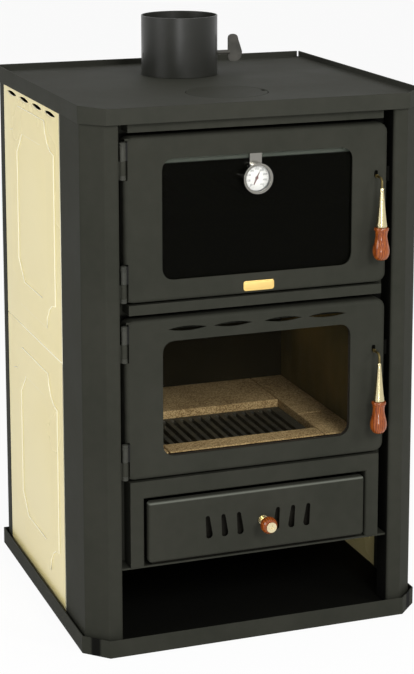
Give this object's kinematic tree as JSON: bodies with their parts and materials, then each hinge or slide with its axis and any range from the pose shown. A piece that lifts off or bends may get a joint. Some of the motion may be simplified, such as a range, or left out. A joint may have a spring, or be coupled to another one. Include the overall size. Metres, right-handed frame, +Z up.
{
  "type": "wood-burning stove with oven",
  "caption": "Free-standing wood stove with glazed fire door, glazed oven above it, ash drawer, open log bay, enamelled side panels and a top flue.",
  "frame": {"origin": "on the floor, under the middle of the whole box, knob of the ash drawer included", "axes": "+X to the stove's right as seen from its front, +Y to its back, +Z up"},
  "size_m": [0.578, 0.5744, 0.969],
  "materials": {
    "dark_steel": "matte anthracite stove paint",
    "cream_enamel": "glossy cream enamel",
    "black_steel": "matte black heat-proof paint",
    "cast_iron": "rough",
    "firebrick": "porous fireclay",
    "rope": "braided glass-fibre rope",
    "clear_glass": "clear ceramic glass",
    "brass": "polished",
    "pale_brass": "polished, pale",
    "steel": "bright steel",
    "chrome": "polished",
    "wood": "glossy lacquered beech, reddish brown",
    "dial_white": "white dial",
    "needle_brown": "dark red-brown"
  },
  "bodies": {
    "stove_body": {"base_tray": "dark_steel", "top_plate": "dark_steel", "flue_pipe": "dark_steel", "left_front_post": "dark_steel", "right_front_post": "dark_steel", "left_rear_post": "dark_steel", "right_rear_post": "dark_steel", "front_plate": "dark_steel", "top_rail": "dark_steel", "middle_rail": "dark_steel", "drawer_apron": "dark_steel", "left_lower_panel": "cream_enamel", "left_upper_panel": "cream_enamel", "right_lower_panel": "cream_enamel", "right_upper_panel": "cream_enamel", "back_panel": "black_steel", "bay_ceiling": "black_steel", "inner_shell": "black_steel", "oven_box": "black_steel", "grate_shelf": "black_steel", "firebox_back": "black_steel", "firebrick_front": "firebrick", "firebrick_rear": "firebrick", "firebrick_left_front": "firebrick", "firebrick_left_rear": "firebrick", "firebrick_right_front": "firebrick", "firebrick_right_rear": "firebrick"},
    "oven_door": {"oven_door_leaf": "dark_steel", "oven_door_glass": "clear_glass", "oven_door_glass_frame": "black_steel", "oven_door_gasket": "rope", "oven_door_hinge_lower": "dark_steel", "oven_door_hinge_upper": "dark_steel", "oven_badge": "brass", "thermometer_case": "chrome", "thermometer_dial": "dial_white", "thermometer_lens": "clear_glass"},
    "thermometer_needle": {"thermometer_needle": "needle_brown"},
    "oven_latch": {"oven_latch_spindle": "steel", "oven_latch_ferrule": "pale_brass", "oven_latch_grip": "wood"},
    "fire_door": {"fire_door_leaf": "dark_steel", "fire_door_glass": "clear_glass", "fire_door_glass_frame": "black_steel", "fire_door_gasket": "rope", "fire_door_hinge_lower": "dark_steel", "fire_door_hinge_upper": "dark_steel"},
    "fire_latch": {"fire_latch_spindle": "steel", "fire_latch_ferrule": "pale_brass", "fire_latch_grip": "wood"},
    "ash_drawer": {"ash_drawer_front": "dark_steel", "ash_drawer_box": "black_steel", "drawer_knob_ball": "wood", "drawer_knob_screw": "pale_brass", "drawer_knob_ferrule": "brass"},
    "damper": {"damper_spindle": "steel", "damper_disc": "cast_iron"},
    "hotplate": {"hotplate_lid": "cast_iron"},
    "rack": {"oven_rack": "steel"},
    "fire_grate": {"grate": "cast_iron"}
  },
  "joints": [
    {"name": "oven_door_swing", "type": "hinge", "parent": "stove_body", "child": "oven_door", "pos_m": [-0.2225, -0.24429, 0.5675], "axis": [0, 0, -1], "range_deg": [0, 120]},
    {"name": "fire_door_swing", "type": "hinge", "parent": "stove_body", "child": "fire_door", "pos_m": [-0.2225, -0.24429, 0.283], "axis": [0, 0, -1], "range_deg": [0, 120]},
    {"name": "oven_latch_turn", "type": "hinge", "parent": "oven_door", "child": "oven_latch", "pos_m": [0.2, -0.24279, 0.742], "axis": [0, 1, 0], "range_deg": [0, 90]},
    {"name": "fire_latch_turn", "type": "hinge", "parent": "fire_door", "child": "fire_latch", "pos_m": [0.2, -0.24279, 0.455], "axis": [0, 1, 0], "range_deg": [0, 90]},
    {"name": "ash_drawer_slide", "type": "slide", "parent": "stove_body", "child": "ash_drawer", "axis": [0, -1, 0], "range_m": [0, 0.25]},
    {"name": "damper_turn", "type": "hinge", "parent": "stove_body", "child": "damper", "pos_m": [0, 0.13471, 0.901], "axis": [1, 0, 0], "range_deg": [0, 90]},
    {"name": "needle_turn", "type": "hinge", "parent": "oven_door", "child": "thermometer_needle", "pos_m": [-0.004, -0.24279, 0.752], "axis": [0, 1, 0], "range_deg": [-160, 110]},
    {"name": "hotplate_lift", "type": "slide", "parent": "stove_body", "child": "hotplate", "axis": [0, 0, 1], "range_m": [0, 0.06]},
    {"name": "rack_slide", "type": "slide", "parent": "stove_body", "child": "rack", "axis": [0, -1, 0], "range_m": [0, 0.035]},
    {"name": "grate_lift", "type": "slide", "parent": "stove_body", "child": "fire_grate", "axis": [0, 0, 1], "range_m": [0, 0.05]}
  ]
}
